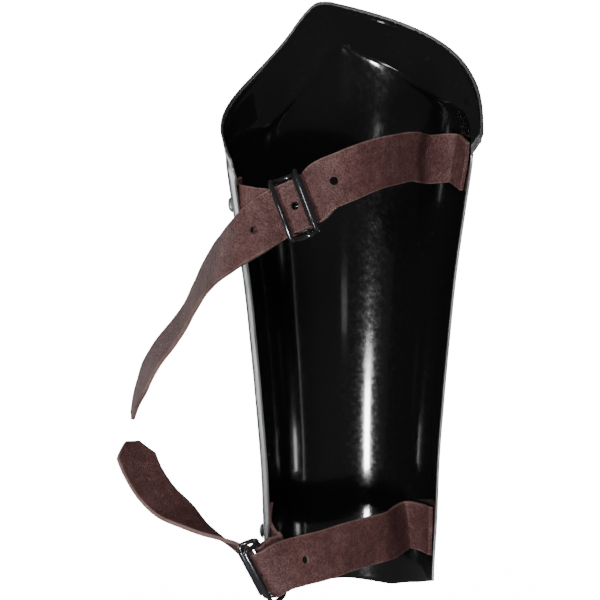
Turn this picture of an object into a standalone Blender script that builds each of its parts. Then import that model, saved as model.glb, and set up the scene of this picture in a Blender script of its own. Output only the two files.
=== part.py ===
# Steel greave with two buckled leather straps, standing upright as a leg holds it.
# The open back faces -Y, the shin faces +Y, the knee end is up. Lengths are in metres.
import bpy
import bmesh
from math import atan2, sin, cos, radians
from mathutils import Matrix, Vector

for old in list(bpy.data.objects):
    bpy.data.objects.remove(old, do_unlink=True)

# Steel plate
PLATE_HEIGHT = 0.371
KNEE_HALF_WIDTH = 0.0795
ANKLE_HALF_WIDTH = 0.0532
KNEE_DEPTH = 0.074
ANKLE_DEPTH = 0.054
PLATE_WALL = 0.0013
WRAP_ANGLE = radians(97)
SIDE_SLANT = 0.045
KNEE_FLARE = 0.013
LIP_HEIGHT = 0.0055
LIP_FLARE = 0.003
PLATE_COLUMNS = 40
BODY_ROWS = 20
FLARE_ROWS = 4
LIP_ROWS = 2

# Leather
STRAP_WIDTH = 0.031
STRAP_THICKNESS = 0.0026
SHORT_THICKNESS = 0.0022
SEAT_GAP = 0.0003
WALL_GAP = 0.00045
FOLD_GAP = 0.0009
TONGUE_SLOT = 0.0034
UPPER_SHORT_TAIL = 0.022
LOWER_SHORT_TAIL = 0.007
UPPER_TIP = 0.030
LOWER_TIP = 0.010
TIP_SHARE = 0.35
ROUTE_STEP = 0.006
EDGE_BACK = -0.012

# Buckles
BUCKLE_GAP = 0.035
BAR_SPACING = 0.017
FRAME_RADIUS = 0.0016
CENTRE_BAR_RADIUS = 0.0015
ROLLER_RADIUS = 0.0029
ROLLER_PLAY = 0.0003
TONGUE_RADIUS = 0.0011
TONGUE_REACH = 0.0165
ROUND_SIDES = 12
ARCH_STEPS = 9

# Rivets
RIVET_HEAD_RADIUS = 0.0048
RIVET_HEAD_RISE = 0.0024
RIVET_SHANK_RADIUS = 0.0016
RIVET_BITE = 0.0012

# Width and depth from the ankle value (0) to the knee value (1), by share of the height.
SECTION_COLUMNS = ("height", "width", "depth")
SECTIONS = [
    (-0.05, 0.00, 0.00),
    (0.00, 0.00, 0.00),
    (0.11, 0.07, 0.06),
    (0.22, 0.12, 0.15),
    (0.32, 0.22, 0.27),
    (0.43, 0.35, 0.40),
    (0.54, 0.50, 0.57),
    (0.65, 0.71, 0.75),
    (0.73, 0.87, 0.88),
    (0.81, 0.99, 1.00),
    (0.90, 1.03, 1.04),
    (1.00, 1.03, 1.05),
]

# Edge heights as shares of the plate height, from the left back edge (-1) round to the right (1).
EDGE_COLUMNS = ("round", "top", "crease", "bottom")
EDGES = [
    (-1.00, 0.768, 0.735, 0.005),
    (-0.90, 0.795, 0.755, -0.002),
    (-0.75, 0.818, 0.772, -0.014),
    (-0.60, 0.838, 0.784, -0.024),
    (-0.45, 0.861, 0.791, -0.029),
    (-0.30, 0.890, 0.800, -0.030),
    (-0.15, 0.935, 0.839, -0.030),
    (0.00, 0.998, 0.888, -0.029),
    (0.05, 1.000, 0.910, -0.029),
    (0.10, 0.995, 0.933, -0.029),
    (0.15, 0.989, 0.921, -0.030),
    (0.30, 0.969, 0.892, -0.035),
    (0.45, 0.946, 0.861, -0.038),
    (0.60, 0.919, 0.837, -0.030),
    (0.75, 0.884, 0.818, -0.021),
    (0.90, 0.835, 0.795, -0.009),
    (1.00, 0.778, 0.743, -0.001),
]

# Share of the knee flare round the top.
FLARE_COLUMNS = ("round", "share")
FLARES = [(-1.0, 0.0), (-0.8, 0.0), (-0.5, 0.2), (-0.2, 0.7), (0.0, 1.0), (0.4, 0.75), (0.8, 0.35), (1.0, 0.25)]

# Straps. Stations on the plate: place round it and share of the plate height. Free stations:
# across in local half widths, forward in local depths, height share, and the lean of the
# strap's width sideways and forwards in degrees.
WALL_COLUMNS = ("round", "height", "side", "lean")
FREE_COLUMNS = ("across", "forward", "height", "side", "lean")

UPPER_WALL = [(0.955, 0.722, 2, 4), (0.88, 0.726, 2, 4), (0.80, 0.731, 2, 2)]
UPPER_BULGE = [
    (0.731, 0.223, 0.739, 1, 0),
    (0.537, 0.028, 0.749, -2, -3),
    (0.323, -0.221, 0.751, -5, -3),
    (0.060, -0.457, 0.748, -9, 2),
    (-0.203, -0.586, 0.734, -11, 10),
    (-0.375, -0.560, 0.718, -11, 16),
]
UPPER_BUCKLE = (-0.590, -0.427, 0.684, -11, 20)
UPPER_TRAVEL = (-0.790, 0.420, -0.420)
UPPER_TAIL = [
    (-0.895, -0.366, 0.651, -9, 24),
    (-1.085, -0.262, 0.623, -4, 38),
    (-1.203, -0.088, 0.597, 2, 53),
    (-1.290, 0.090, 0.574, 5, 63),
    (-1.381, 0.229, 0.545, 7, 71),
    (-1.474, 0.372, 0.511, 8, 77),
    (-1.547, 0.488, 0.483, 7, 80),
    (-1.661, 0.607, 0.452, 4, 81),
    (-1.786, 0.727, 0.425, 2, 82),
    (-1.935, 0.836, 0.392, 2, 82),
    (-2.055, 0.947, 0.355, 2, 81),
    (-2.148, 1.042, 0.324, 3, 83),
    (-2.227, 1.144, 0.287, 6, 86),
]

LOWER_WALL = [(0.95, 0.086, 3, 8), (0.80, 0.083, -2, 8), (0.65, 0.081, -8, 6)]
LOWER_BULGE = [
    (0.500, 0.120, 0.083, -12, 2),
    (0.236, -0.080, 0.086, -12, 2),
    (-0.168, -0.346, 0.088, -9, 8),
    (-0.492, -0.511, 0.085, -6, 14),
    (-0.763, -0.620, 0.084, -8, 14),
    (-0.976, -0.675, 0.080, -14, 8),
]
LOWER_BUCKLE = (-1.190, -0.440, 0.062, -26, 5)
LOWER_TRAVEL = (0.0, 0.9975, -0.07)
LOWER_TAIL = [
    (-1.203, -0.049, 0.060, -30, -14),
    (-1.256, 0.121, 0.066, -31, -34),
    (-1.346, 0.267, 0.075, -27, -52),
    (-1.463, 0.374, 0.087, -19, -69),
    (-1.603, 0.436, 0.100, -11, -84),
    (-1.797, 0.488, 0.120, -20, -96),
    (-1.940, 0.611, 0.133, -28, -105),
    (-2.059, 0.753, 0.147, -36, -108),
    (-2.160, 0.891, 0.167, -45, -106),
    (-2.238, 1.027, 0.192, -54, -99),
    (-2.280, 1.123, 0.219, -58, -91),
    (-2.286, 1.202, 0.239, -60, -87),
]

# Buckle straps: one free station between the buckle and the plate, then stations on the plate.
UPPER_SLACK = (-0.655, -0.285, 0.669, -15, 23)
UPPER_SHORT_WALL = [(-1.00, 0.680, 0, 10), (-0.88, 0.680, 0, 4), (-0.76, 0.680, 0, 0), (-0.64, 0.680, 0, 0)]
LOWER_SLACK = (-0.885, -0.270, 0.078, -12, -8)
LOWER_SHORT_WALL = [(-1.00, 0.088, -4, -14), (-0.88, 0.098, -2, -20), (-0.76, 0.108, 0, -22), (-0.66, 0.116, 0, -22)]

# Rivets: place round the plate and share of its height, for the long strap and the buckle strap.
RIVET_COLUMNS = ("round", "height")
UPPER_RIVETS = ((0.86, 0.7245), (-0.76, 0.680))
LOWER_RIVETS = ((0.84, 0.0835), (-0.76, 0.108))


def material(name, color, metallic, roughness):
    mat = bpy.data.materials.new(name)
    mat.use_nodes = True
    shader = mat.node_tree.nodes["Principled BSDF"]
    shader.inputs["Base Color"].default_value = (*color, 1.0)
    shader.inputs["Metallic"].default_value = metallic
    shader.inputs["Roughness"].default_value = roughness
    return mat


STEEL = material("polished_steel", (0.62, 0.63, 0.65), 1.0, 0.22)
LEATHER = material("brown_leather", (0.10, 0.045, 0.04), 0.0, 0.6)
BLACK = material("black_metal", (0.02, 0.02, 0.022), 0.6, 0.3)


def read(table, place, column):
    """Smooth value of one column of a table at a place along its first column."""
    rows = [(row[0], row[column]) for row in table]
    place = min(max(place, rows[0][0]), rows[-1][0])
    slopes = [(b[1] - a[1]) / (b[0] - a[0]) for a, b in zip(rows, rows[1:])]
    tangents = [slopes[0]] + [(a + b) / 2 if a * b > 0 else 0.0 for a, b in zip(slopes, slopes[1:])]
    tangents.append(slopes[-1])
    for k in range(len(rows) - 1):
        if place <= rows[k + 1][0]:
            break
    span = rows[k + 1][0] - rows[k][0]
    t = (place - rows[k][0]) / span
    blend = t * t * (3 - 2 * t)
    value = rows[k][1] * (1 - blend) + rows[k + 1][1] * blend
    return value + span * (tangents[k] * t * (1 - t) ** 2 - tangents[k + 1] * t * t * (1 - t))


def half_width(height):
    share = read(SECTIONS, height, SECTION_COLUMNS.index("width"))
    return ANKLE_HALF_WIDTH + (KNEE_HALF_WIDTH - ANKLE_HALF_WIDTH) * share


def depth(height):
    share = read(SECTIONS, height, SECTION_COLUMNS.index("depth"))
    return ANKLE_DEPTH + (KNEE_DEPTH - ANKLE_DEPTH) * share


def outward(place, height):
    """Horizontal unit vector out of the plate."""
    angle = WRAP_ANGLE * place
    return Vector((depth(height) * sin(angle), half_width(height) * cos(angle), 0.0)).normalized()


def slanted(point):
    return point + Vector((0.0, 0.0, SIDE_SLANT * point.x))


def plate_point(place, height, offset=0.0):
    """Point of the plate's inner face, moved outwards by an offset."""
    angle = WRAP_ANGLE * place
    point = Vector((half_width(height) * sin(angle), depth(height) * cos(angle), PLATE_HEIGHT * height))
    top = read(EDGES, place, EDGE_COLUMNS.index("top"))
    crease = read(EDGES, place, EDGE_COLUMNS.index("crease"))
    lip = top - LIP_HEIGHT / PLATE_HEIGHT
    share = read(FLARES, place, FLARE_COLUMNS.index("share"))
    flare = KNEE_FLARE * share
    if height > crease:
        offset += flare * (min(height, lip) - crease) / (lip - crease)
    if height > lip:
        offset += LIP_FLARE * (0.4 + 0.6 * share) * (height - lip) / (top - lip)
    return slanted(point + outward(place, height) * offset)


def hold_inside(point, gap):
    """The point itself, or moved in where it comes nearer to the plate's inner face than the gap."""
    height = (point.z - SIDE_SLANT * point.x) / PLATE_HEIGHT
    place = atan2(point.x / half_width(height), point.y / depth(height)) / WRAP_ANGLE
    seat = plate_point(place, height, -gap)
    return seat if (point - seat).dot(outward(place, height)) > 0 else point


def plate_normal(place, height):
    """Unit vector square to the plate's face, pointing out of the plate."""
    step = 0.01
    round_way = plate_point(place + step, height) - plate_point(place - step, height)
    upward = plate_point(place, height + step) - plate_point(place, height - step)
    return upward.cross(round_way).normalized()


def finish(name, mesh_builder, mat, smooth=True):
    mesh = bpy.data.meshes.new(name)
    mesh_builder.to_mesh(mesh)
    mesh_builder.free()
    for polygon in mesh.polygons:
        polygon.use_smooth = smooth
    mesh.materials.append(mat)
    part = bpy.data.objects.new(name, mesh)
    bpy.context.scene.collection.objects.link(part)
    return part


def thicken(part, thickness, side, even):
    """Give a sheet its wall: side 1 grows it outwards, 0 to both sides."""
    wall = part.modifiers.new("wall", "SOLIDIFY")
    wall.thickness = thickness
    wall.offset = side
    wall.use_even_offset = even


def make_plate():
    rows = BODY_ROWS + FLARE_ROWS + LIP_ROWS
    sheet = bmesh.new()
    bmesh.ops.create_grid(sheet, x_segments=PLATE_COLUMNS, y_segments=rows, size=1.0)
    for vert in sheet.verts:
        place = vert.co.x
        level = (vert.co.y + 1) / 2 * rows
        bottom = read(EDGES, place, EDGE_COLUMNS.index("bottom"))
        crease = read(EDGES, place, EDGE_COLUMNS.index("crease"))
        top = read(EDGES, place, EDGE_COLUMNS.index("top"))
        lip = top - LIP_HEIGHT / PLATE_HEIGHT
        if level <= BODY_ROWS:
            height = bottom + (crease - bottom) * level / BODY_ROWS
        elif level <= BODY_ROWS + FLARE_ROWS:
            height = crease + (lip - crease) * (level - BODY_ROWS) / FLARE_ROWS
        else:
            height = lip + (top - lip) * (level - BODY_ROWS - FLARE_ROWS) / LIP_ROWS
        vert.co = plate_point(place, height)
    bmesh.ops.reverse_faces(sheet, faces=sheet.faces)
    plate = finish("greave_plate", sheet, STEEL)
    thicken(plate, PLATE_WALL, 1, True)
    return plate


def lean_vector(side, lean):
    """Direction of a strap's width: up, leaning sideways and forwards by degrees."""
    side, lean = radians(side), radians(lean)
    return Vector((sin(side), sin(lean) * cos(side), cos(lean) * cos(side)))


def wall_station(row, thickness):
    inset = -(WALL_GAP + thickness / 2)
    point = plate_point(row[0], row[1], inset)
    return point, lean_vector(row[2], row[3])


def free_station(row):
    height = row[2]
    point = Vector((half_width(height) * row[0], depth(height) * row[1], PLATE_HEIGHT * height))
    return point, lean_vector(row[3], row[4])


def buckle_axes(row, travel, facing):
    """Matrix of a buckle: X towards its roller, Y along its bars, Z off the strap's face."""
    centre, bars = free_station(row)
    along = Vector(travel).normalized() * facing
    bars = (bars - along * bars.dot(along)).normalized()
    face = along.cross(bars)
    if face.dot(Vector((-1.0, -1.0, 0.0))) < 0:
        bars.negate()
        face.negate()
    axes = Matrix((along, bars, face)).transposed().to_4x4()
    axes.translation = centre
    return axes


def smooth_route(stations):
    """Points and width directions of a smooth curve through the stations."""
    lengths = [(b[0] - a[0]).length for a, b in zip(stations, stations[1:])]
    route = []
    for column in (0, 1):
        values = [row[column] for row in stations]
        slopes = [(b - a) / length for a, b, length in zip(values, values[1:], lengths)]
        bends = [slopes[0]]
        for k in range(1, len(slopes)):
            near, far = lengths[k - 1], lengths[k]
            bends.append((slopes[k - 1] * far + slopes[k] * near) / (near + far))
        bends.append(slopes[-1])
        line = []
        for k, length in enumerate(lengths):
            steps = max(1, round(length / ROUTE_STEP))
            for step in range(steps):
                t = step / steps
                blend = t * t * (3 - 2 * t)
                swing = bends[k] * t * (1 - t) ** 2 - bends[k + 1] * t * t * (1 - t)
                line.append(values[k].lerp(values[k + 1], blend) + swing * length)
        line.append(values[-1])
        route.append(line)
    return list(zip(*route))


def ribbon(name, route, width, thickness, wall_side, tip=0.0, slot=None):
    """Strap along a route, kept inside the plate on one side of it. The tip narrows its end,
    the slot leaves a window in it."""
    across = [-0.5, 0.0, 0.5] if slot is None else [-0.5, -slot[0] / 2, slot[0] / 2, 0.5]
    last = len(route) - 1
    left = [0.0]
    for k in range(last, 0, -1):
        left.insert(0, left[0] + (route[k][0] - route[k - 1][0]).length)
    sheet = bmesh.new()
    bmesh.ops.create_grid(sheet, x_segments=last, y_segments=len(across) - 1, size=1.0)
    window = []
    for face in sheet.faces:
        middle = face.calc_center_median()
        if slot and slot[1] < (middle.x + 1) / 2 * last < slot[2] and abs(middle.y) < 0.1:
            window.append(face)
    for vert in sheet.verts:
        k = round((vert.co.x + 1) / 2 * last)
        j = round((vert.co.y + 1) / 2 * (len(across) - 1))
        point, lean = route[k]
        travel = (route[min(k + 1, last)][0] - route[max(k - 1, 0)][0]).normalized()
        lean = (lean - travel * lean.dot(travel)).normalized()
        narrow = 1.0 if left[k] >= tip else TIP_SHARE + (1 - TIP_SHARE) * left[k] / tip
        vert.co = point + lean * (width * across[j] * narrow)
        if vert.co.x * wall_side > 0 and vert.co.y > EDGE_BACK:
            vert.co = hold_inside(vert.co, WALL_GAP + thickness / 2)
    bmesh.ops.delete(sheet, geom=window, context="FACES")
    strap = finish(name, sheet, LEATHER)
    thicken(strap, thickness, 0, False)
    return strap


def through_buckle(axes, direction):
    """Straight stretch of strap inside a buckle."""
    reach = BAR_SPACING / 2 + ROLLER_RADIUS
    along = axes.to_3x3().col[0].normalized()
    bars = axes.to_3x3().col[1].normalized()
    bars = bars if bars.z > 0 else -bars
    return [(axes.translation + along * (reach * side * direction), bars) for side in (-1, 0, 1)]


def bar_heights():
    """Height of the end bars and of the centre bar over the strap's middle plane."""
    ends = STRAP_THICKNESS / 2 + SEAT_GAP + ROLLER_RADIUS
    centre = -(STRAP_THICKNESS / 2 + SHORT_THICKNESS + CENTRE_BAR_RADIUS + 3 * SEAT_GAP)
    return ends, centre


def wire(name, points, radius, closed):
    """Round wire along points, as a mesh with closed ends."""
    curve = bpy.data.curves.new(name, "CURVE")
    curve.dimensions = "3D"
    curve.bevel_depth = radius
    curve.bevel_resolution = 2
    curve.use_fill_caps = True
    spline = curve.splines.new("POLY")
    spline.points.add(len(points) - 1)
    spline.use_cyclic_u = closed
    for target, point in zip(spline.points, points):
        target.co = (*point, 1.0)
    holder = bpy.data.objects.new(name, curve)
    mesh = bpy.data.meshes.new_from_object(holder)
    bpy.data.objects.remove(holder, do_unlink=True)
    merge = bmesh.new()
    merge.from_mesh(mesh)
    bmesh.ops.remove_doubles(merge, verts=merge.verts, dist=0.00001)
    bmesh.ops.recalc_face_normals(merge, faces=merge.faces)
    merge.to_mesh(mesh)
    merge.free()
    for polygon in mesh.polygons:
        polygon.use_smooth = True
    return mesh


def place_mesh(name, mesh, mat, axes):
    mesh.materials.clear()
    mesh.materials.append(mat)
    part = bpy.data.objects.new(name, mesh)
    part.matrix_world = axes
    bpy.context.scene.collection.objects.link(part)
    return part


def hide_guide(part):
    part.hide_render = True
    part.display_type = "WIRE"


def make_frame(name, axes):
    """Closed wire frame with arched sides, and the bar that crosses under their middle."""
    ends, centre = bar_heights()
    side = BUCKLE_GAP / 2 + FRAME_RADIUS
    reach = BAR_SPACING / 2
    corner = FRAME_RADIUS * 0.9
    points = []
    for turn in (1, -1):
        points.append(Vector((turn * reach, -turn * (side - corner), ends)))
        points.append(Vector((turn * reach, turn * (side - corner), ends)))
        for step in range(1, ARCH_STEPS):
            angle = radians(180) * step / ARCH_STEPS
            arch = Vector((turn * reach * cos(angle), turn * side, ends + (centre - ends) * sin(angle)))
            points.append(arch)
    frame = place_mesh(name, wire(name, points, FRAME_RADIUS, True), BLACK, axes)
    bar_ends = [Vector((0.0, -side, centre)), Vector((0.0, side, centre))]
    bar = place_mesh(name + "_bar_guide", wire(name + "_bar", bar_ends, CENTRE_BAR_RADIUS, False), BLACK, axes)
    hide_guide(bar)
    union = frame.modifiers.new("centre_bar", "BOOLEAN")
    union.operation = "UNION"
    union.solver = "EXACT"
    union.object = bar
    return frame


def make_roller(name, axes):
    """Tube turned round the roller bar."""
    ends, _ = bar_heights()
    bore = FRAME_RADIUS + ROLLER_PLAY
    half = BUCKLE_GAP / 2 - FRAME_RADIUS * 0.9 - SEAT_GAP
    profile = bmesh.new()
    corners = [(bore, -half), (bore, half), (ROLLER_RADIUS, half), (ROLLER_RADIUS, -half)]
    verts = [profile.verts.new((BAR_SPACING / 2 + radius, along, ends)) for radius, along in corners]
    edges = [profile.edges.new((verts[k], verts[(k + 1) % 4])) for k in range(4)]
    bmesh.ops.spin(profile, geom=verts + edges, cent=(BAR_SPACING / 2, 0.0, ends), axis=(0.0, 1.0, 0.0),
                   angle=radians(360), steps=ROUND_SIDES + 4, use_merge=True)
    bmesh.ops.recalc_face_normals(profile, faces=profile.faces)
    roller = finish(name, profile, BLACK)
    roller.matrix_world = axes
    return roller


def make_tongue(name, axes):
    """Tongue hooked round the centre bar, with its stem behind the strap."""
    _, centre = bar_heights()
    hook = CENTRE_BAR_RADIUS + SEAT_GAP + TONGUE_RADIUS
    points = []
    for step in range(11):
        angle = radians(-250 + 25 * step)
        points.append(Vector((hook * sin(angle), 0.0, centre + hook * cos(angle))))
    for share in (0.25, 0.5, 0.75, 1.0):
        points.append(Vector((TONGUE_REACH * share, 0.0, centre + hook)))
    return place_mesh(name, wire(name, points, TONGUE_RADIUS, False), BLACK, axes)


def short_route(axes, slack, wall_rows, heading, tail):
    """Route of a buckle strap from its folded end round the centre bar and back to the plate,
    with the stretch of it that is slotted for the tongue."""
    _, centre = bar_heights()
    along, bars, face = [column.normalized() for column in axes.to_3x3().col]
    bars = bars if bars.z > 0 else -bars
    bar = axes.translation + face * centre
    away = along * cos(radians(heading)) + face * sin(radians(heading))
    side = face * cos(radians(heading)) - along * sin(radians(heading))
    turn = CENTRE_BAR_RADIUS + SEAT_GAP + SHORT_THICKNESS / 2
    pinch = (SHORT_THICKNESS + FOLD_GAP) / 2
    stations = [(bar + away * turn * 2 + side * pinch, bars), free_station(slack)]
    stations += [wall_station(row, SHORT_THICKNESS) for row in wall_rows]
    back = smooth_route(stations)
    folded = []
    length = 0.0
    for k, (point, lean) in enumerate(back):
        length += (point - back[max(k - 1, 0)][0]).length
        if length > tail:
            break
        travel = back[k + 1][0] - back[max(k - 1, 0)][0]
        layer = travel.cross(lean).normalized() * 2 * pinch
        folded.insert(0, (point - layer if layer.dot(side) > 0 else point + layer, lean))
    waist = (turn + pinch) / 2
    loop = [(bar + away * turn - side * waist, bars)]
    for step in range(9):
        angle = radians(180) * step / 8
        loop.append((bar - side * turn * cos(angle) - away * turn * sin(angle), bars))
    loop.append((bar + away * turn + side * waist, bars))
    return folded + loop + back, len(folded) - 1, len(folded) + len(loop)


def make_rivet(name, place, height):
    """Domed head outside the plate, shank through it into the leather, with its hole cutter."""
    out = plate_normal(place, height)
    right = Vector((0.0, 0.0, 1.0)).cross(out).normalized()
    axes = Matrix((right, out.cross(right), out)).transposed().to_4x4()
    axes.translation = plate_point(place, height) + out * (PLATE_WALL + SEAT_GAP)
    length = PLATE_WALL + 2 * SEAT_GAP + RIVET_BITE
    profile = bmesh.new()
    outline = [(0.0, -length), (RIVET_SHANK_RADIUS, -length), (RIVET_SHANK_RADIUS, 0.0), (RIVET_HEAD_RADIUS, 0.0)]
    outline += [(RIVET_HEAD_RADIUS * cos(radians(a)), RIVET_HEAD_RISE * sin(radians(a))) for a in (25, 50, 72)]
    outline.append((0.0, RIVET_HEAD_RISE))
    verts = [profile.verts.new((radius, 0.0, rise)) for radius, rise in outline]
    edges = [profile.edges.new(pair) for pair in zip(verts, verts[1:])]
    bmesh.ops.spin(profile, geom=verts + edges, cent=(0.0, 0.0, 0.0), axis=(0.0, 0.0, 1.0),
                   angle=radians(360), steps=ROUND_SIDES, use_merge=True)
    bmesh.ops.remove_doubles(profile, verts=profile.verts, dist=0.00001)
    bmesh.ops.recalc_face_normals(profile, faces=profile.faces)
    rivet = finish(name, profile, STEEL)
    rivet.matrix_world = axes
    hole = bmesh.new()
    reach = length + SEAT_GAP
    bmesh.ops.create_cone(hole, cap_ends=True, segments=ROUND_SIDES, radius1=RIVET_SHANK_RADIUS + SEAT_GAP,
                          radius2=RIVET_SHANK_RADIUS + SEAT_GAP, depth=2 * reach)
    cutter = finish(name + "_hole_guide", hole, STEEL)
    cutter.matrix_world = axes
    hide_guide(cutter)
    return cutter


def cut(part, cutter):
    hole = part.modifiers.new("rivet_hole", "BOOLEAN")
    hole.operation = "DIFFERENCE"
    hole.solver = "EXACT"
    hole.object = cutter


def make_straps(prefix, wall, bulge, buckle, travel, facing, tail, short, rivets, tip, plate):
    """One strap with its buckle, buckle strap and rivets, their holes cut."""
    axes = buckle_axes(buckle, travel, facing)
    stations = [wall_station(row, STRAP_THICKNESS) for row in wall]
    stations += [free_station(row) for row in bulge]
    stations += through_buckle(axes, facing)
    stations += [free_station(row) for row in tail]
    strap = ribbon(prefix + "_strap", smooth_route(stations), STRAP_WIDTH, STRAP_THICKNESS, 1, tip)
    route, first, last = short_route(axes, *short)
    slot = (TONGUE_SLOT / STRAP_WIDTH, first, last)
    holder = ribbon(prefix + "_buckle_strap", route, STRAP_WIDTH, SHORT_THICKNESS, -1, 0.0, slot)
    make_frame(prefix + "_buckle_frame", axes)
    make_roller(prefix + "_buckle_roller", axes)
    make_tongue(prefix + "_buckle_tongue", axes)
    for name, (place, height), leather in zip(("_strap_rivet", "_buckle_rivet"), rivets, (strap, holder)):
        cutter = make_rivet(prefix + name, place, height)
        cut(leather, cutter)
        cut(plate, cutter)


plate = make_plate()
make_straps("upper", UPPER_WALL, UPPER_BULGE, UPPER_BUCKLE, UPPER_TRAVEL, -1, UPPER_TAIL,
            (UPPER_SLACK, UPPER_SHORT_WALL, 180, UPPER_SHORT_TAIL), UPPER_RIVETS, UPPER_TIP, plate)
make_straps("lower", LOWER_WALL, LOWER_BULGE, LOWER_BUCKLE, LOWER_TRAVEL, 1, LOWER_TAIL,
            (LOWER_SLACK, LOWER_SHORT_WALL, -65, LOWER_SHORT_TAIL), LOWER_RIVETS, LOWER_TIP, plate)
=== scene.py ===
# Steel greave seen from behind: polished plate with black paint inside, leather straps, black buckles.
from math import atan2, cos, exp, radians, sin

import bmesh
import bpy
from mathutils import Matrix, Vector


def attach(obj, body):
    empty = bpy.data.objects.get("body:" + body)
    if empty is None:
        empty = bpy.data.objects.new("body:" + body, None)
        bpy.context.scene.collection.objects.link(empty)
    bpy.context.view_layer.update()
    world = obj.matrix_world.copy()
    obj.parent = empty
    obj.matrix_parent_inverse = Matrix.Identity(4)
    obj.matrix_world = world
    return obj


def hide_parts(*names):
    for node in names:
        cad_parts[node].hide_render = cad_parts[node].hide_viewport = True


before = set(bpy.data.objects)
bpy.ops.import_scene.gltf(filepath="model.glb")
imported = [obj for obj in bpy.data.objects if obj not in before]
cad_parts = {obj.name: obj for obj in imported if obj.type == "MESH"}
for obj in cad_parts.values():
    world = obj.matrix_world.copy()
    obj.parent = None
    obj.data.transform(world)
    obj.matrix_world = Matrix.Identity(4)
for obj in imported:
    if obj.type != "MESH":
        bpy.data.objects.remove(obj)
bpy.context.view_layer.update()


# Steel plate
PLATE_HEIGHT = 0.371
KNEE_HALF_WIDTH = 0.0795
ANKLE_HALF_WIDTH = 0.0532
KNEE_DEPTH = 0.074
ANKLE_DEPTH = 0.054
PLATE_WALL = 0.0013
WRAP_ANGLE = radians(97)
SIDE_SLANT = 0.045
KNEE_FLARE = 0.013
LIP_HEIGHT = 0.0055
LIP_FLARE = 0.003
PLATE_COLUMNS = 176
BODY_ROWS = 110
FLARE_ROWS = 30
LIP_ROWS = 8

# Leather
STRAP_WIDTH = 0.031
STRAP_THICKNESS = 0.0026
SHORT_THICKNESS = 0.0022
SEAT_GAP = 0.0003
WALL_GAP = 0.00045
FOLD_GAP = 0.0009
UPPER_SHORT_TAIL = 0.022
LOWER_SHORT_TAIL = 0.007
UPPER_TIP = 0.030
LOWER_TIP = 0.010
TIP_SHARE = 0.35
ROUTE_STEP = 0.0015
EDGE_BACK = -0.012

# Buckles
BUCKLE_GAP = 0.035
BAR_SPACING = 0.017
FRAME_RADIUS = 0.0016
CENTRE_BAR_RADIUS = 0.0015
ROLLER_RADIUS = 0.0029
ROLLER_PLAY = 0.0003
TONGUE_RADIUS = 0.0011
TONGUE_REACH = 0.0165
ROUND_SIDES = 40
ARCH_STEPS = 24

# Rivets
RIVET_HEAD_RADIUS = 0.0048
RIVET_HEAD_RISE = 0.0024
RIVET_SHANK_RADIUS = 0.0016
RIVET_BITE = 0.0012

# Fine detail that only the picture shows
CHEVRON_RIDGE = 0.0007
CHEVRON_WIDTH = 0.0026
RIM_GROOVE = 0.0005
RIM_WIDTH = 0.0013
STRAP_LANES = 12
LEATHER_SWELL = 0.00018
TAIL_START = 14
TAIL_PASSES = 40
HOLE_RADIUS = 0.0026
SOFT_HOLE_RADIUS = 0.0012
HOLE_PITCH = 0.030
SOFT_HOLES_FROM = 0.080
PLATE_CORNER = 0.00035
STRAP_CORNER = 0.0006
ROLLER_CORNER = 0.0005
RIVET_CORNER = 0.0002
SHARP_CORNER = radians(55)

# Holes of the long straps, in pitches from the buckle, as the photo shows them
UPPER_HOLES = (-1, 0, 1, 2, 3, 4, 5)
LOWER_HOLES = (-1.33, -0.3, 0.67, 1.7, 2.8, 3.38, 3.9)

# Camera, as the photo was taken: angles, distance, and where the picture's middle lies
CAMERA_TURN = radians(15)
CAMERA_DROP = radians(10)
CAMERA_DISTANCE = 1.4
CAMERA_TARGET = Vector((0.0, 0.025, 0.19))
PHOTO_WIDTH = 600
PHOTO_PIXELS_PER_METRE = 1560
PHOTO_SHIFT_RIGHT = -41
PHOTO_SHIFT_UP = -9
SENSOR_WIDTH = 36.0
FLOOR_RADIUS = 1.6
FLOOR_PLACE = (0.0, 0.1, -0.2)
WORLD_LIGHT = 0.07
WORLD_BACKDROP = 17.0

# Colours
DULL_STEEL = (0.62, 0.63, 0.65, 1)
BRIGHT_STEEL = (0.76, 0.77, 0.79, 1)
WORN_STEEL = (0.2, 0.2, 0.21, 1)
BARE_STEEL = (0.72, 0.73, 0.75, 1)
PAINT_BLACK = (0.003, 0.003, 0.0033, 1)
PAINT_DUST = (0.02, 0.02, 0.022, 1)
ENAMEL_BLACK = (0.07, 0.072, 0.078, 1)
ENAMEL_WORN = (0.16, 0.16, 0.17, 1)
DARK_LEATHER = (0.042, 0.0160, 0.0152, 1)
LIGHT_LEATHER = (0.082, 0.0365, 0.0345, 1)
DUSTY_LEATHER = (0.17, 0.108, 0.102, 1)
PITTED_LEATHER = (0.02, 0.008, 0.008, 1)
RUBBED_LEATHER = (0.26, 0.175, 0.155, 1)
FLOOR_WHITE = (0.92, 0.92, 0.92, 1)
FLOOR_BRIGHT = (0.96, 0.96, 0.96, 1)

# Width and depth from the ankle value (0) to the knee value (1), by share of the height.
SECTION_COLUMNS = ("height", "width", "depth")
SECTIONS = [
    (-0.05, 0.00, 0.00),
    (0.00, 0.00, 0.00),
    (0.11, 0.07, 0.06),
    (0.22, 0.12, 0.15),
    (0.32, 0.22, 0.27),
    (0.43, 0.35, 0.40),
    (0.54, 0.50, 0.57),
    (0.65, 0.71, 0.75),
    (0.73, 0.87, 0.88),
    (0.81, 0.99, 1.00),
    (0.90, 1.03, 1.04),
    (1.00, 1.03, 1.05),
]

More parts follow.
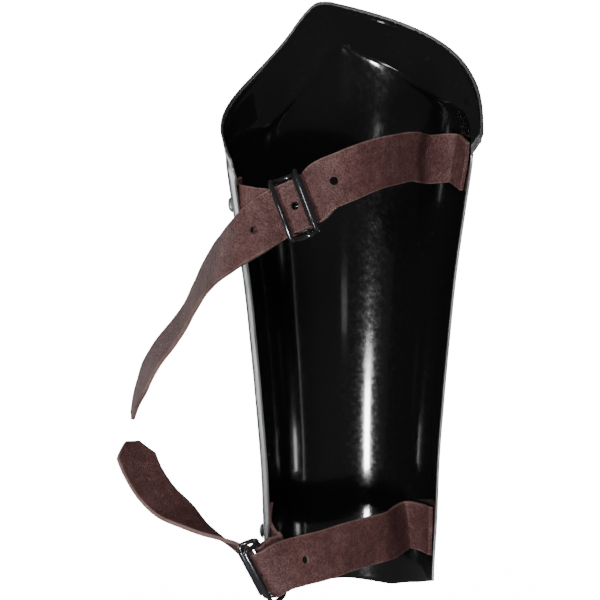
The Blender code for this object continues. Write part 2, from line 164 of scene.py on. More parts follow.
# Edge heights as shares of the plate height, from the left back edge (-1) round to the right (1).
EDGE_COLUMNS = ("round", "top", "crease", "bottom")
EDGES = [
    (-1.00, 0.768, 0.735, 0.005),
    (-0.90, 0.795, 0.755, -0.002),
    (-0.75, 0.818, 0.772, -0.014),
    (-0.60, 0.838, 0.784, -0.024),
    (-0.45, 0.861, 0.791, -0.029),
    (-0.30, 0.890, 0.800, -0.030),
    (-0.15, 0.935, 0.839, -0.030),
    (0.00, 0.998, 0.888, -0.029),
    (0.05, 1.000, 0.910, -0.029),
    (0.10, 0.995, 0.933, -0.029),
    (0.15, 0.989, 0.921, -0.030),
    (0.30, 0.969, 0.892, -0.035),
    (0.45, 0.946, 0.861, -0.038),
    (0.60, 0.919, 0.837, -0.030),
    (0.75, 0.884, 0.818, -0.021),
    (0.90, 0.835, 0.795, -0.009),
    (1.00, 0.778, 0.743, -0.001),
]

# Share of the knee flare round the top.
FLARE_COLUMNS = ("round", "share")
FLARES = [(-1.0, 0.0), (-0.8, 0.0), (-0.5, 0.2), (-0.2, 0.7), (0.0, 1.0), (0.4, 0.75), (0.8, 0.35), (1.0, 0.25)]

# Straps. Stations on the plate: place round it and share of the plate height. Free stations:
# across in local half widths, forward in local depths, height share, and the lean of the
# strap's width sideways and forwards in degrees.

UPPER_WALL = [(0.955, 0.722, 2, 4), (0.88, 0.726, 2, 4), (0.80, 0.731, 2, 2)]
UPPER_BULGE = [
    (0.731, 0.223, 0.739, 1, 0),
    (0.537, 0.028, 0.749, -2, -3),
    (0.323, -0.221, 0.751, -5, -3),
    (0.060, -0.457, 0.748, -9, 2),
    (-0.203, -0.586, 0.734, -11, 10),
    (-0.375, -0.560, 0.718, -11, 16),
]
UPPER_BUCKLE = (-0.590, -0.427, 0.684, -11, 20)
UPPER_TRAVEL = (-0.790, 0.420, -0.420)
UPPER_TAIL = [
    (-0.895, -0.366, 0.651, -9, 24),
    (-1.085, -0.262, 0.623, -4, 38),
    (-1.203, -0.088, 0.597, 2, 53),
    (-1.290, 0.090, 0.574, 5, 63),
    (-1.381, 0.229, 0.545, 7, 71),
    (-1.474, 0.372, 0.511, 8, 77),
    (-1.547, 0.488, 0.483, 7, 80),
    (-1.661, 0.607, 0.452, 4, 81),
    (-1.786, 0.727, 0.425, 2, 82),
    (-1.935, 0.836, 0.392, 2, 82),
    (-2.055, 0.947, 0.355, 2, 81),
    (-2.148, 1.042, 0.324, 3, 83),
    (-2.227, 1.144, 0.287, 6, 86),
]

LOWER_WALL = [(0.95, 0.086, 3, 8), (0.80, 0.083, -2, 8), (0.65, 0.081, -8, 6)]
LOWER_BULGE = [
    (0.500, 0.120, 0.083, -12, 2),
    (0.236, -0.080, 0.086, -12, 2),
    (-0.168, -0.346, 0.088, -9, 8),
    (-0.492, -0.511, 0.085, -6, 14),
    (-0.763, -0.620, 0.084, -8, 14),
    (-0.976, -0.675, 0.080, -14, 8),
]
LOWER_BUCKLE = (-1.190, -0.440, 0.062, -26, 5)
LOWER_TRAVEL = (0.0, 0.9975, -0.07)
LOWER_TAIL = [
    (-1.203, -0.049, 0.060, -30, -14),
    (-1.256, 0.121, 0.066, -31, -34),
    (-1.346, 0.267, 0.075, -27, -52),
    (-1.463, 0.374, 0.087, -19, -69),
    (-1.603, 0.436, 0.100, -11, -84),
    (-1.797, 0.488, 0.120, -20, -96),
    (-1.940, 0.611, 0.133, -28, -105),
    (-2.059, 0.753, 0.147, -36, -108),
    (-2.160, 0.891, 0.167, -45, -106),
    (-2.238, 1.027, 0.192, -54, -99),
    (-2.280, 1.123, 0.219, -58, -91),
    (-2.286, 1.202, 0.239, -60, -87),
]

# Buckle straps: one free station between the buckle and the plate, then stations on the plate.
UPPER_SLACK = (-0.655, -0.285, 0.669, -15, 23)
UPPER_SHORT_WALL = [(-1.00, 0.680, 0, 10), (-0.88, 0.680, 0, 4), (-0.76, 0.680, 0, 0), (-0.64, 0.680, 0, 0)]
LOWER_SLACK = (-0.885, -0.270, 0.078, -12, -8)
LOWER_SHORT_WALL = [(-1.00, 0.088, -4, -14), (-0.88, 0.098, -2, -20), (-0.76, 0.108, 0, -22), (-0.66, 0.116, 0, -22)]

# Rivets: place round the plate and share of its height, for the long strap and the buckle strap.
UPPER_RIVETS = ((0.86, 0.7245), (-0.76, 0.680))
LOWER_RIVETS = ((0.84, 0.0835), (-0.76, 0.108))


def read(table, place, column):
    """Smooth value of one column of a table at a place along its first column."""
    rows = [(row[0], row[column]) for row in table]
    place = min(max(place, rows[0][0]), rows[-1][0])
    slopes = [(b[1] - a[1]) / (b[0] - a[0]) for a, b in zip(rows, rows[1:])]
    tangents = [slopes[0]] + [(a + b) / 2 if a * b > 0 else 0.0 for a, b in zip(slopes, slopes[1:])]
    tangents.append(slopes[-1])
    for k in range(len(rows) - 1):
        if place <= rows[k + 1][0]:
            break
    span = rows[k + 1][0] - rows[k][0]
    t = (place - rows[k][0]) / span
    blend = t * t * (3 - 2 * t)
    value = rows[k][1] * (1 - blend) + rows[k + 1][1] * blend
    return value + span * (tangents[k] * t * (1 - t) ** 2 - tangents[k + 1] * t * t * (1 - t))


def half_width(height):
    share = read(SECTIONS, height, SECTION_COLUMNS.index("width"))
    return ANKLE_HALF_WIDTH + (KNEE_HALF_WIDTH - ANKLE_HALF_WIDTH) * share


def depth(height):
    share = read(SECTIONS, height, SECTION_COLUMNS.index("depth"))
    return ANKLE_DEPTH + (KNEE_DEPTH - ANKLE_DEPTH) * share


def outward(place, height):
    """Horizontal unit vector out of the plate."""
    angle = WRAP_ANGLE * place
    return Vector((depth(height) * sin(angle), half_width(height) * cos(angle), 0.0)).normalized()


def slanted(point):
    return point + Vector((0.0, 0.0, SIDE_SLANT * point.x))


def plate_point(place, height, offset=0.0):
    """Point of the plate's inner face, moved outwards by an offset."""
    angle = WRAP_ANGLE * place
    point = Vector((half_width(height) * sin(angle), depth(height) * cos(angle), PLATE_HEIGHT * height))
    top = read(EDGES, place, EDGE_COLUMNS.index("top"))
    crease = read(EDGES, place, EDGE_COLUMNS.index("crease"))
    lip = top - LIP_HEIGHT / PLATE_HEIGHT
    share = read(FLARES, place, FLARE_COLUMNS.index("share"))
    flare = KNEE_FLARE * share
    if height > crease:
        offset += flare * (min(height, lip) - crease) / (lip - crease)
    if height > lip:
        offset += LIP_FLARE * (0.4 + 0.6 * share) * (height - lip) / (top - lip)
    return slanted(point + outward(place, height) * offset)


def hold_inside(point, gap):
    """The point itself, or moved in where it comes nearer to the plate's inner face than the gap."""
    height = (point.z - SIDE_SLANT * point.x) / PLATE_HEIGHT
    place = atan2(point.x / half_width(height), point.y / depth(height)) / WRAP_ANGLE
    seat = plate_point(place, height, -gap)
    return seat if (point - seat).dot(outward(place, height)) > 0 else point


def plate_normal(place, height):
    """Unit vector square to the plate's face, pointing out of the plate."""
    step = 0.01
    round_way = plate_point(place + step, height) - plate_point(place - step, height)
    upward = plate_point(place, height + step) - plate_point(place, height - step)
    return upward.cross(round_way).normalized()


def lean_vector(side, lean):
    """Direction of a strap's width: up, leaning sideways and forwards by degrees."""
    side, lean = radians(side), radians(lean)
    return Vector((sin(side), sin(lean) * cos(side), cos(lean) * cos(side)))


def wall_station(row, thickness):
    inset = -(WALL_GAP + thickness / 2)
    point = plate_point(row[0], row[1], inset)
    return point, lean_vector(row[2], row[3])


def free_station(row):
    height = row[2]
    point = Vector((half_width(height) * row[0], depth(height) * row[1], PLATE_HEIGHT * height))
    return point, lean_vector(row[3], row[4])


def buckle_axes(row, travel, facing):
    """Matrix of a buckle: X towards its roller, Y along its bars, Z off the strap's face."""
    centre, bars = free_station(row)
    along = Vector(travel).normalized() * facing
    bars = (bars - along * bars.dot(along)).normalized()
    face = along.cross(bars)
    if face.dot(Vector((-1.0, -1.0, 0.0))) < 0:
        bars.negate()
        face.negate()
    axes = Matrix((along, bars, face)).transposed().to_4x4()
    axes.translation = centre
    return axes


def smooth_route(stations):
    """Points and width directions of a smooth curve through the stations."""
    lengths = [(b[0] - a[0]).length for a, b in zip(stations, stations[1:])]
    route = []
    for column in (0, 1):
        values = [row[column] for row in stations]
        slopes = [(b - a) / length for a, b, length in zip(values, values[1:], lengths)]
        bends = [slopes[0]]
        for k in range(1, len(slopes)):
            near, far = lengths[k - 1], lengths[k]
            bends.append((slopes[k - 1] * far + slopes[k] * near) / (near + far))
        bends.append(slopes[-1])
        line = []
        for k, length in enumerate(lengths):
            steps = max(1, round(length / ROUTE_STEP))
            for step in range(steps):
                t = step / steps
                blend = t * t * (3 - 2 * t)
                swing = bends[k] * t * (1 - t) ** 2 - bends[k + 1] * t * t * (1 - t)
                line.append(values[k].lerp(values[k + 1], blend) + swing * length)
        line.append(values[-1])
        route.append(line)
    return list(zip(*route))


def through_buckle(axes, direction):
    """Straight stretch of strap inside a buckle."""
    reach = BAR_SPACING / 2 + ROLLER_RADIUS
    along = axes.to_3x3().col[0].normalized()
    bars = axes.to_3x3().col[1].normalized()
    bars = bars if bars.z > 0 else -bars
    return [(axes.translation + along * (reach * side * direction), bars) for side in (-1, 0, 1)]


def bar_heights():
    """Height of the end bars and of the centre bar over the strap's middle plane."""
    ends = STRAP_THICKNESS / 2 + SEAT_GAP + ROLLER_RADIUS
    centre = -(STRAP_THICKNESS / 2 + SHORT_THICKNESS + CENTRE_BAR_RADIUS + 3 * SEAT_GAP)
    return ends, centre


def short_route(axes, slack, wall_rows, heading, tail):
    """Route of a buckle strap from its folded end round the centre bar and back to the plate,
    with the stretch of it that is slotted for the tongue."""
    _, centre = bar_heights()
    along, bars, face = [column.normalized() for column in axes.to_3x3().col]
    bars = bars if bars.z > 0 else -bars
    bar = axes.translation + face * centre
    away = along * cos(radians(heading)) + face * sin(radians(heading))
    side = face * cos(radians(heading)) - along * sin(radians(heading))
    turn = CENTRE_BAR_RADIUS + SEAT_GAP + SHORT_THICKNESS / 2
    pinch = (SHORT_THICKNESS + FOLD_GAP) / 2
    stations = [(bar + away * turn * 2 + side * pinch, bars), free_station(slack)]
    stations += [wall_station(row, SHORT_THICKNESS) for row in wall_rows]
    back = smooth_route(stations)
    folded = []
    length = 0.0
    for k, (point, lean) in enumerate(back):
        length += (point - back[max(k - 1, 0)][0]).length
        if length > tail:
            break
        travel = back[k + 1][0] - back[max(k - 1, 0)][0]
        layer = travel.cross(lean).normalized() * 2 * pinch
        folded.insert(0, (point - layer if layer.dot(side) > 0 else point + layer, lean))
    waist = (turn + pinch) / 2
    loop = [(bar + away * turn - side * waist, bars)]
    for step in range(9):
        angle = radians(180) * step / 8
        loop.append((bar - side * turn * cos(angle) - away * turn * sin(angle), bars))
    loop.append((bar + away * turn + side * waist, bars))
    return folded + loop + back, len(folded) - 1, len(folded) + len(loop)


class Wire:
    """One shader socket; arithmetic on it adds Math nodes."""

    def __init__(self, mat, socket):
        self.mat, self.socket = mat, socket

    def _math(self, operation, first, second):
        return self.mat.node("ShaderNodeMath", {"operation": operation}, {0: first, 1: second})[0]

    def __add__(self, other):
        return self._math("ADD", self, other)

    def __mul__(self, other):
        return self._math("MULTIPLY", self, other)

    def __sub__(self, other):
        return self._math("SUBTRACT", self, other)

    def __rsub__(self, other):
        return self._math("SUBTRACT", other, self)

    __radd__, __rmul__ = __add__, __mul__


class Finish:
    """A material under construction. Sockets are picked by name, or by number where names repeat."""

    def __init__(self, name):
        self.mat = bpy.data.materials.new(name)
        self.mat.use_nodes = True
        self.tree = self.mat.node_tree
        self.shader = self.tree.nodes["Principled BSDF"]
        self.place = self.node("ShaderNodeTexCoord", {}, {})[3]

    def node(self, kind, settings, inputs):
        made = self.tree.nodes.new(kind)
        for key, value in settings.items():
            setattr(made, key, value)
        for key, value in inputs.items():
            if isinstance(value, Wire):
                self.tree.links.new(value.socket, made.inputs[key])
            else:
                made.inputs[key].default_value = value
        return [Wire(self, socket) for socket in made.outputs]

    def noise(self, scale, detail=4.0, rough=0.5, stretch=(1, 1, 1)):
        spread = self.node("ShaderNodeMapping", {}, {"Vector": self.place, "Scale": stretch})[0]
        values = {"Vector": spread, "Scale": scale, "Detail": detail, "Roughness": rough}
        return self.node("ShaderNodeTexNoise", {}, values)[0]

    def cells(self, scale):
        return self.node("ShaderNodeTexVoronoi", {}, {"Vector": self.place, "Scale": scale})[0]

    def ramp(self, value, low, high, first, last):
        return self.node("ShaderNodeMapRange", {}, {0: value, 1: low, 2: high, 3: first, 4: last})[0]

    def blend(self, amount, first, second):
        return self.node("ShaderNodeMix", {"data_type": "RGBA"}, {0: amount, 6: first, 7: second})[2]

    def bump(self, height, strength, distance):
        return self.node("ShaderNodeBump", {}, {"Strength": strength, "Distance": distance, "Height": height})[0]

    def set(self, **values):
        for key, value in values.items():
            socket = self.shader.inputs[key.replace("_", " ")]
            if isinstance(value, Wire):
                self.tree.links.new(value.socket, socket)
            else:
                socket.default_value = value
        return self.mat


def near_edge(finish, start, end):
    """0 in the middle of the plate, 1 along its bare side edges and top rim, with a ragged border."""
    unrolled = finish.node("ShaderNodeUVMap", {"uv_map": "plate"}, {})[0]
    sheet = finish.node("ShaderNodeSeparateXYZ", {}, {0: unrolled})
    off_middle = finish.node("ShaderNodeMath", {"operation": "ABSOLUTE"}, {0: sheet[0] - 0.5})[0]
    rim = sheet[1] * 0.464 + 0.0325
    edge = finish.node("ShaderNodeMath", {"operation": "MAXIMUM"}, {0: off_middle, 1: rim})[0]
    return finish.ramp(edge + finish.noise(330.0, 5.0, 0.7) * 0.012, start, end, 0.0, 1.0)


def polished_steel():
    steel = Finish("polished_steel_finish")
    brush = steel.noise(420.0, 3.0, 0.6, (1.0, 1.0, 0.06))
    haze = steel.noise(28.0, 5.0, 0.6)
    tint = steel.blend(haze, DULL_STEEL, BRIGHT_STEEL)
    smooth = steel.ramp(haze, 0.3, 0.75, 0.14, 0.26)
    scratches = steel.noise(500.0, 4.0, 0.7, (1.0, 1.0, 0.04))
    worn = steel.ramp(scratches * near_edge(steel, 0.44, 0.47), 0.35, 0.65, 0.0, 0.7)
    return steel.set(Base_Color=steel.blend(worn, tint, WORN_STEEL), Metallic=1.0,
                     Roughness=smooth + near_edge(steel, 0.46, 0.5) * 0.22,
                     Normal=steel.bump(brush, 0.1, 0.0003))


def black_paint():
    """Glossy black paint, chipped back to bare steel beside the side edges."""
    paint = Finish("black_paint_finish")
    flow = paint.noise(16.0, 2.0, 0.4)
    orange_peel = paint.noise(240.0, 2.0, 0.4)
    dust = paint.noise(300.0, 6.0, 0.7)
    bare = near_edge(paint, 0.4935, 0.4945)
    tint = paint.blend(paint.ramp(dust, 0.62, 0.8, 0.0, 0.5), PAINT_BLACK, PAINT_DUST)
    return paint.set(Base_Color=paint.blend(bare, tint, BARE_STEEL), Metallic=bare,
                     Roughness=paint.ramp(dust, 0.4, 0.8, 0.10, 0.22) + bare * 0.25, Coat_Weight=0.5 - bare * 0.5,
                     Coat_Roughness=0.06, Normal=paint.bump(flow * 0.9 + orange_peel * 0.06, 0.16, 0.002))


def black_enamel():
    enamel = Finish("buckle_enamel")
    worn = enamel.noise(180.0, 4.0, 0.6)
    tint = enamel.blend(enamel.ramp(worn, 0.6, 0.75, 0.0, 0.6), ENAMEL_BLACK, ENAMEL_WORN)
    return enamel.set(Base_Color=tint, Metallic=0.9, Roughness=enamel.ramp(worn, 0.3, 0.8, 0.12, 0.26),
                      Coat_Weight=1.0, Coat_Roughness=0.08, Normal=enamel.bump(worn, 0.1, 0.0003))


def brown_leather():
    """Grained leather, rubbed lighter along the cut edges. The UV map holds the share across the strap."""
    leather = Finish("brown_leather_finish")
    pebbles = leather.cells(780.0)
    fine = leather.noise(1500.0, 6.0, 0.7)
    patch = leather.noise(48.0, 5.0, 0.65)
    crease = leather.noise(210.0, 5.0, 0.65)
    unrolled = leather.node("ShaderNodeUVMap", {"uv_map": "strap"}, {})[0]
    across = leather.node("ShaderNodeSeparateXYZ", {}, {0: unrolled})[1]
    off_middle = leather.node("ShaderNodeMath", {"operation": "ABSOLUTE"}, {0: across - 0.5})[0]
    rubbed = leather.ramp(off_middle + fine * 0.05 + patch * 0.05, 0.525, 0.56, 0.0, 0.4)
    body = leather.blend(leather.ramp(patch, 0.3, 0.7, 0.0, 1.0), DARK_LEATHER, LIGHT_LEATHER)
    dusty = leather.blend(leather.ramp(crease * 0.45 + fine * 0.55, 0.48, 0.7, 0.0, 0.6), body, DUSTY_LEATHER)
    pits = leather.blend(leather.ramp(pebbles, 0.35, 0.75, 0.0, 0.55), dusty, PITTED_LEATHER)
    tint = leather.blend(rubbed, pits, RUBBED_LEATHER)
    relief = leather.ramp(pebbles, 0.1, 0.8, 1.0, 0.0) * 0.6 + fine * 0.3 + crease * 0.6
    return leather.set(Base_Color=tint, Metallic=0.0, Specular_IOR_Level=0.25,
                       Roughness=leather.ramp(fine, 0.3, 0.75, 0.42, 0.68),
                       Normal=leather.bump(relief, 0.75, 0.0008))


def pale_floor():
    """White floor that thins out towards its rim, so it melts into the white studio."""
    pale = Finish("pale_floor_finish")
    spot = pale.node("ShaderNodeMapping", {}, {"Vector": pale.place, "Scale": (0.6, 0.6, 0.6)})[0]
    far = pale.node("ShaderNodeTexGradient", {"gradient_type": "SPHERICAL"}, {"Vector": spot})[1]
    speck = pale.noise(6.0, 3.0, 0.5)
    tint = pale.blend(speck, FLOOR_WHITE, FLOOR_BRIGHT)
    return pale.set(Base_Color=tint, Roughness=0.9, Alpha=pale.ramp(far, 0.0, 0.9, 0.0, 0.1))


STEEL, PAINT, ENAMEL, LEATHER = polished_steel(), black_paint(), black_enamel(), brown_leather()


def add_piece(name, shape, mats, node, corner=0.0):
    """Link a finished bmesh as a piece that stands for a CAD node."""
    mesh = bpy.data.meshes.new(name)
    shape.to_mesh(mesh)
    shape.free()
    piece = bpy.data.objects.new(name, mesh)
    bpy.context.scene.collection.objects.link(piece)
    for mat in mats:
        mesh.materials.append(mat)
    for polygon in mesh.polygons:
        polygon.use_smooth = True
    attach(piece, "root")
    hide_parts(node)
    if corner:
        round_corners(piece, corner)
    return piece


def round_corners(piece, width):
    bevel = piece.modifiers.new("soft_edges", "BEVEL")
    bevel.width = width
    bevel.segments = 3
    bevel.limit_method = "ANGLE"
    bevel.angle_limit = SHARP_CORNER


def shell():
    """Steel plate: smooth wall, chevron ridge, flare and turned rim, black on the hollow side."""
    rows = BODY_ROWS + FLARE_ROWS + LIP_ROWS
    sheet = bmesh.new()
    bmesh.ops.create_grid(sheet, x_segments=PLATE_COLUMNS, y_segments=rows, size=1.0)
    spots = {}
    for vert in sheet.verts:
        place = vert.co.x
        level = (vert.co.y + 1) / 2 * rows
        bottom = read(EDGES, place, EDGE_COLUMNS.index("bottom"))
        crease = read(EDGES, place, EDGE_COLUMNS.index("crease"))
        top = read(EDGES, place, EDGE_COLUMNS.index("top"))
        lip = top - LIP_HEIGHT / PLATE_HEIGHT
        if level <= BODY_ROWS:
            height = bottom + (crease - bottom) * level / BODY_ROWS
        elif level <= BODY_ROWS + FLARE_ROWS:
            height = crease + (lip - crease) * (level - BODY_ROWS) / FLARE_ROWS
        else:
            height = lip + (top - lip) * (level - BODY_ROWS - FLARE_ROWS) / LIP_ROWS
        away = (height - crease) * PLATE_HEIGHT / CHEVRON_WIDTH
        inside = (height - lip) * PLATE_HEIGHT / RIM_WIDTH
        spots[vert] = ((place + 1) / 2, level / rows)
        vert.co = plate_point(place, height, RIM_GROOVE * exp(-inside * inside) - CHEVRON_RIDGE * exp(-away * away))
    layer = sheet.loops.layers.uv.new("plate")
    for face in sheet.faces:
        for loop in face.loops:
            loop[layer].uv = spots[loop.vert]
    bmesh.ops.reverse_faces(sheet, faces=sheet.faces)
    piece = add_piece("greave_shell", sheet, (STEEL, PAINT), "greave_plate")
    wall = piece.modifiers.new("wall", "SOLIDIFY")
    wall.thickness = PLATE_WALL
    wall.offset = 1
    wall.use_even_offset = True
    wall.material_offset = 1
    wall.material_offset_rim = 0
    round_corners(piece, PLATE_CORNER)


def swell(distance, share):
    """Slow waves in the leather's face."""
    short_wave = sin(distance * 210) * cos(share * 5 + distance * 90)
    long_wave = sin(distance * 57 + share * 7)
    return LEATHER_SWELL * (short_wave + 0.6 * long_wave)


def leather_strip(name, node, route, thickness, wall_side, tip=0.0, slot=None, holes=(), soft_from=0.0):
    """Strap along a route, with waves, a shaped end, a tongue slot and punched holes."""
    last = len(route) - 1
    travelled = [0.0]
    for here, there in zip(route, route[1:]):
        travelled.append(travelled[-1] + (there[0] - here[0]).length)
    strip = bmesh.new()
    bmesh.ops.create_grid(strip, x_segments=last, y_segments=STRAP_LANES, size=1.0)
    sides = strip.loops.layers.uv.new("strap")
    window = []
    for face in strip.faces:
        middle = face.calc_center_median()
        if slot and slot[0] < (middle.x + 1) / 2 * last < slot[1] and abs(middle.y) < 1.1 / STRAP_LANES:
            window.append(face)
        for loop in face.loops:
            loop[sides].uv = (travelled[round((loop.vert.co.x + 1) / 2 * last)], (loop.vert.co.y + 1) / 2)
    for vert in strip.verts:
        k = round((vert.co.x + 1) / 2 * last)
        share = vert.co.y / 2
        point, lean = route[k]
        travel = (route[min(k + 1, last)][0] - route[max(k - 1, 0)][0]).normalized()
        lean = (lean - travel * lean.dot(travel)).normalized()
        left = travelled[-1] - travelled[k]
        narrow = 1.0 if left >= tip else TIP_SHARE + (1 - TIP_SHARE) * left / tip
        wave = travel.cross(lean) * swell(travelled[k], share) * (0.0 if slot else 1.0)
        vert.co = point + lean * (STRAP_WIDTH * share * narrow) + wave
        if vert.co.x * wall_side > 0 and vert.co.y > EDGE_BACK:
            vert.co = hold_inside(vert.co, WALL_GAP + thickness / 2)
    bmesh.ops.delete(strip, geom=window, context="FACES")
    piece = add_piece(name, strip, (LEATHER,), node)
    wall = piece.modifiers.new("wall", "SOLIDIFY")
    wall.thickness = thickness
    wall.offset = 0
    if holes:
        punch(piece, route, travelled, holes, soft_from)
    round_corners(piece, STRAP_CORNER)


def punch(piece, route, travelled, places, soft_from):
    """Cut round holes at distances along the route; soft leather closes on the last ones."""
    drill = bmesh.new()
    for distance in places:
        k = min(range(len(route)), key=lambda index: abs(travelled[index] - distance))
        if not 1 < k < len(route) - 2:
            continue
        travel = (route[k + 1][0] - route[k - 1][0]).normalized()
        across = (route[k][1] - travel * route[k][1].dot(travel)).normalized()
        axes = Matrix((travel, across, travel.cross(across))).transposed().to_4x4()
        axes.translation = route[k][0]
        radius = SOFT_HOLE_RADIUS if soft_from and distance > soft_from else HOLE_RADIUS
        bmesh.ops.create_cone(drill, cap_ends=True, segments=24, radius1=radius, radius2=radius,
                              depth=0.008, matrix=axes)
    mesh = bpy.data.meshes.new("drill")
    drill.to_mesh(mesh)
    drill.free()
    cutter = bpy.data.objects.new("drill", mesh)
    bpy.context.scene.collection.objects.link(cutter)
    cut = piece.modifiers.new("holes", "BOOLEAN")
    cut.operation = "DIFFERENCE"
    cut.solver = "EXACT"
    cut.object = cutter
    depsgraph = bpy.context.evaluated_depsgraph_get()
    cut_mesh = bpy.data.meshes.new_from_object(piece.evaluated_get(depsgraph))
    piece.modifiers.clear()
    piece.data = cut_mesh
    bpy.data.objects.remove(cutter, do_unlink=True)


def calmed(route, start):
    """The route with its free end smoothed, as leather bends, from a station on."""
    calm = list(route)
    for _ in range(TAIL_PASSES):
        before = list(calm)
        for k in range(start, len(calm) - 1):
            point = (before[k - 1][0] + before[k][0] * 2 + before[k + 1][0]) / 4
            lean = (before[k - 1][1] + before[k][1] * 2 + before[k + 1][1]).normalized()
            calm[k] = (point, lean)
    return calm


def wire_shape(points, radius, closed):
    """Round wire along points as a bmesh with closed ends."""
    curve = bpy.data.curves.new("wire", "CURVE")
    curve.dimensions = "3D"
    curve.bevel_depth = radius
    curve.bevel_resolution = 5
    curve.use_fill_caps = True
    spline = curve.splines.new("POLY")
    spline.points.add(len(points) - 1)
    spline.use_cyclic_u = closed
    for target, point in zip(spline.points, points):
        target.co = (*point, 1.0)
    holder = bpy.data.objects.new("wire", curve)
    mesh = bpy.data.meshes.new_from_object(holder)
    bpy.data.objects.remove(holder, do_unlink=True)
    shape = bmesh.new()
    shape.from_mesh(mesh)
    bmesh.ops.remove_doubles(shape, verts=shape.verts, dist=0.00001)
    bmesh.ops.recalc_face_normals(shape, faces=shape.faces)
    return shape


def buckle(prefix, axes):
    """Wire frame with arched sides and a centre bar, turned roller, hooked tongue."""
    ends, centre = bar_heights()
    side = BUCKLE_GAP / 2 + FRAME_RADIUS
    reach = BAR_SPACING / 2
    corner = FRAME_RADIUS * 0.9
    points = []
    for turn in (1, -1):
        points.append(Vector((turn * reach, -turn * (side - corner), ends)))
        points.append(Vector((turn * reach, turn * (side - corner), ends)))
        for step in range(1, ARCH_STEPS):
            angle = radians(180) * step / ARCH_STEPS
            points.append(Vector((turn * reach * cos(angle), turn * side, ends + (centre - ends) * sin(angle))))
    node = prefix + "_buckle_frame"
    bar = [Vector((0.0, -side, centre)), Vector((0.0, side, centre))]
    for name, path, radius, closed in (("wire", points, FRAME_RADIUS, True), ("bar", bar, CENTRE_BAR_RADIUS, False)):
        shape = wire_shape(path, radius, closed)
        shape.transform(axes)
        add_piece(prefix + "_buckle_" + name, shape, (ENAMEL,), node)
    bore = FRAME_RADIUS + ROLLER_PLAY
    half = BUCKLE_GAP / 2 - corner - SEAT_GAP
    tube = bmesh.new()
    outline = [(bore, -half), (bore, half), (ROLLER_RADIUS, half), (ROLLER_RADIUS, -half)]
    verts = [tube.verts.new((reach + radius, along, ends)) for radius, along in outline]
    edges = [tube.edges.new((verts[k], verts[(k + 1) % 4])) for k in range(4)]
    bmesh.ops.spin(tube, geom=verts + edges, cent=(reach, 0.0, ends), axis=(0.0, 1.0, 0.0), angle=radians(360),
                   steps=ROUND_SIDES, use_merge=True)
    bmesh.ops.recalc_face_normals(tube, faces=tube.faces)
    tube.transform(axes)
    add_piece(prefix + "_roller_tube", tube, (ENAMEL,), prefix + "_buckle_roller",
              ROLLER_CORNER)
    hook = CENTRE_BAR_RADIUS + SEAT_GAP + TONGUE_RADIUS
    stem = [Vector((hook * sin(radians(a)), 0.0, centre + hook * cos(radians(a)))) for a in range(-250, 1, 10)]
    stem += [Vector((TONGUE_REACH * share, 0.0, centre + hook)) for share in (0.25, 0.5, 0.75, 1.0)]
    shape = wire_shape(stem, TONGUE_RADIUS, False)
    shape.transform(axes)
    add_piece(prefix + "_tongue_wire", shape, (ENAMEL,), prefix + "_buckle_tongue")


def rivet(node, place, height):
    """Domed rivet turned on its axis, shank through the plate."""
    out = plate_normal(place, height)
    right = Vector((0.0, 0.0, 1.0)).cross(out).normalized()
    axes = Matrix((right, out.cross(right), out)).transposed().to_4x4()
    axes.translation = plate_point(place, height) + out * (PLATE_WALL + SEAT_GAP)
    length = PLATE_WALL + 2 * SEAT_GAP + RIVET_BITE
    dome = [(RIVET_HEAD_RADIUS * cos(radians(a)), RIVET_HEAD_RISE * sin(radians(a))) for a in range(10, 90, 10)]
    outline = [(0.0, -length), (RIVET_SHANK_RADIUS, -length), (RIVET_SHANK_RADIUS, 0.0), (RIVET_HEAD_RADIUS, 0.0)]
    outline += dome + [(0.0, RIVET_HEAD_RISE)]
    turned = bmesh.new()
    verts = [turned.verts.new((radius, 0.0, rise)) for radius, rise in outline]
    edges = [turned.edges.new(pair) for pair in zip(verts, verts[1:])]
    bmesh.ops.spin(turned, geom=verts + edges, cent=(0.0, 0.0, 0.0), axis=(0.0, 0.0, 1.0), angle=radians(360),
                   steps=ROUND_SIDES, use_merge=True)
    bmesh.ops.remove_doubles(turned, verts=turned.verts, dist=0.00001)
    bmesh.ops.recalc_face_normals(turned, faces=turned.faces)
    turned.transform(axes)
    add_piece(node + "_head", turned, (STEEL,), node, RIVET_CORNER)


def strapping(prefix, wall, bulge, seat, travel, facing, tail, short, rivets, tip, hole_steps):
    """Long strap, buckle strap, buckle and rivets of one end of the plate."""
    axes = buckle_axes(seat, travel, facing)
    before = [wall_station(row, STRAP_THICKNESS) for row in wall] + [free_station(row) for row in bulge]
    stations = before + through_buckle(axes, facing) + [free_station(row) for row in tail]
    route = smooth_route(stations)
    along, at_buckle, nearest = 0.0, 0.0, 1.0
    for here, there in zip(route, route[1:]):
        along += (there[0] - here[0]).length
        if (there[0] - axes.translation).length < nearest:
            nearest, at_buckle = (there[0] - axes.translation).length, along
    route = calmed(route, round(at_buckle / along * (len(route) - 1)) + TAIL_START)
    holes = [at_buckle + HOLE_PITCH * step for step in hole_steps]
    leather_strip(prefix + "_strap_leather", prefix + "_strap", route, STRAP_THICKNESS, 1, tip, None, holes,
                  at_buckle + SOFT_HOLES_FROM)
    route, first, final = short_route(axes, *short)
    leather_strip(prefix + "_holder_leather", prefix + "_buckle_strap", route, SHORT_THICKNESS, -1, 0.0,
                  (first, final))
    buckle(prefix, axes)
    for node, (place, height) in zip(("_strap_rivet", "_buckle_rivet"), rivets):
        rivet(prefix + node, place, height)


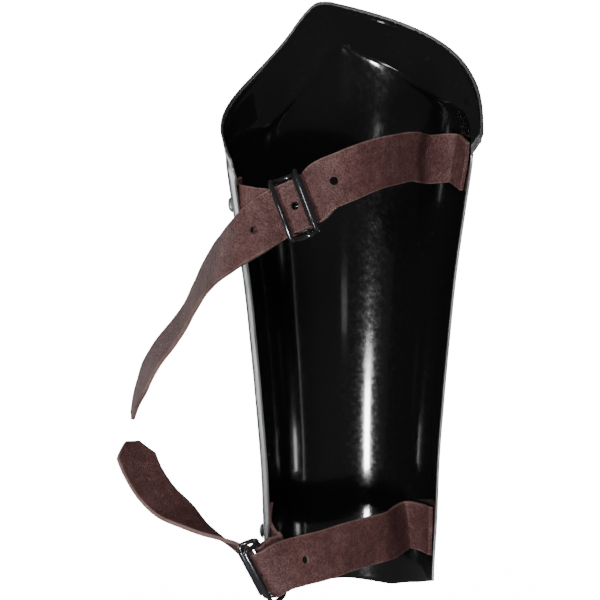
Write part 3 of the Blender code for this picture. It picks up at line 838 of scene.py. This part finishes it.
shell()
strapping("upper", UPPER_WALL, UPPER_BULGE, UPPER_BUCKLE, UPPER_TRAVEL, -1, UPPER_TAIL,
          (UPPER_SLACK, UPPER_SHORT_WALL, 180, UPPER_SHORT_TAIL), UPPER_RIVETS, UPPER_TIP, UPPER_HOLES)
strapping("lower", LOWER_WALL, LOWER_BULGE, LOWER_BUCKLE, LOWER_TRAVEL, 1, LOWER_TAIL,
          (LOWER_SLACK, LOWER_SHORT_WALL, -65, LOWER_SHORT_TAIL), LOWER_RIVETS, LOWER_TIP, LOWER_HOLES)

# White floor under the part.
floor_shape = bmesh.new()
bmesh.ops.create_circle(floor_shape, cap_ends=True, segments=96, radius=FLOOR_RADIUS)
floor_mesh = bpy.data.meshes.new("floor")
floor_shape.to_mesh(floor_mesh)
floor_shape.free()
floor = bpy.data.objects.new("floor", floor_mesh)
floor.location = FLOOR_PLACE
bpy.context.scene.collection.objects.link(floor)
floor_mesh.materials.append(pale_floor())

# Camera at the photo's angle: behind the leg, a little to the left and above.
look = Vector((sin(CAMERA_TURN) * cos(CAMERA_DROP), cos(CAMERA_TURN) * cos(CAMERA_DROP), -sin(CAMERA_DROP)))
lens = bpy.data.cameras.new("camera")
lens.sensor_width = SENSOR_WIDTH
lens.lens = SENSOR_WIDTH * CAMERA_DISTANCE * PHOTO_PIXELS_PER_METRE / PHOTO_WIDTH
lens.shift_x = PHOTO_SHIFT_RIGHT / PHOTO_WIDTH
lens.shift_y = PHOTO_SHIFT_UP / PHOTO_WIDTH
camera = bpy.data.objects.new("camera", lens)
camera.location = CAMERA_TARGET - look * CAMERA_DISTANCE
camera.rotation_mode = "QUATERNION"
camera.rotation_quaternion = look.to_track_quat("-Z", "Y")
bpy.context.scene.collection.objects.link(camera)
bpy.context.scene.camera = camera


def soft_light(name, place, aim, width, height, power, mirrored=True):
    """Rectangular light; one that isn't mirrored leaves no highlight on the gloss."""
    light = bpy.data.lights.new(name, "AREA")
    light.shape = "RECTANGLE"
    light.size, light.size_y = width, height
    light.energy = power
    lamp = bpy.data.objects.new(name, light)
    lamp.location = place
    lamp.rotation_mode = "QUATERNION"
    lamp.rotation_quaternion = (Vector(aim) - Vector(place)).to_track_quat("-Z", "Y")
    lamp.visible_glossy = mirrored
    lamp.visible_camera = False
    bpy.context.scene.collection.objects.link(lamp)


soft_light("streak_light", place=(-0.88, -1.15, -0.155), aim=(0.026, 0.05, 0.10),
           width=0.15, height=0.29, power=25.0)
soft_light("faint_light", place=(-0.18, -1.46, 0.135), aim=(0.0, 0.05, 0.2),
           width=0.16, height=0.12, power=0.07)
soft_light("buckle_light", place=(-0.82, -1.15, 0.74), aim=(0, 0, 0.2),
           width=0.10, height=0.6, power=4.0)
soft_light("key_light", place=(-0.4, -1.3, 1.3), aim=(0, 0, 0.2),
           width=0.9, height=0.6, power=30.0, mirrored=False)
soft_light("side_light", place=(-1.6, 0.5, 0.4), aim=(0, 0, 0.2),
           width=0.9, height=1.4, power=10.0, mirrored=False)
soft_light("right_light", place=(1.4, -0.5, 0.6), aim=(0, 0, 0.2),
           width=0.5, height=1.0, power=13.0, mirrored=False)
soft_light("rim_light", place=(-0.8, 1.3, 0.1), aim=(-0.06, 0, 0.2),
           width=0.5, height=0.9, power=4.5)

world = bpy.data.worlds.new("studio")
bpy.context.scene.world = world
world.use_nodes = True
nodes, links = world.node_tree.nodes, world.node_tree.links
path = nodes.new("ShaderNodeLightPath")
level = nodes.new("ShaderNodeMapRange")
links.new(path.outputs["Is Camera Ray"], level.inputs["Value"])
level.inputs["To Min"].default_value = WORLD_LIGHT
level.inputs["To Max"].default_value = WORLD_BACKDROP
nodes["Background"].inputs["Color"].default_value = (1, 1, 1, 1)
links.new(level.outputs[0], nodes["Background"].inputs["Strength"])
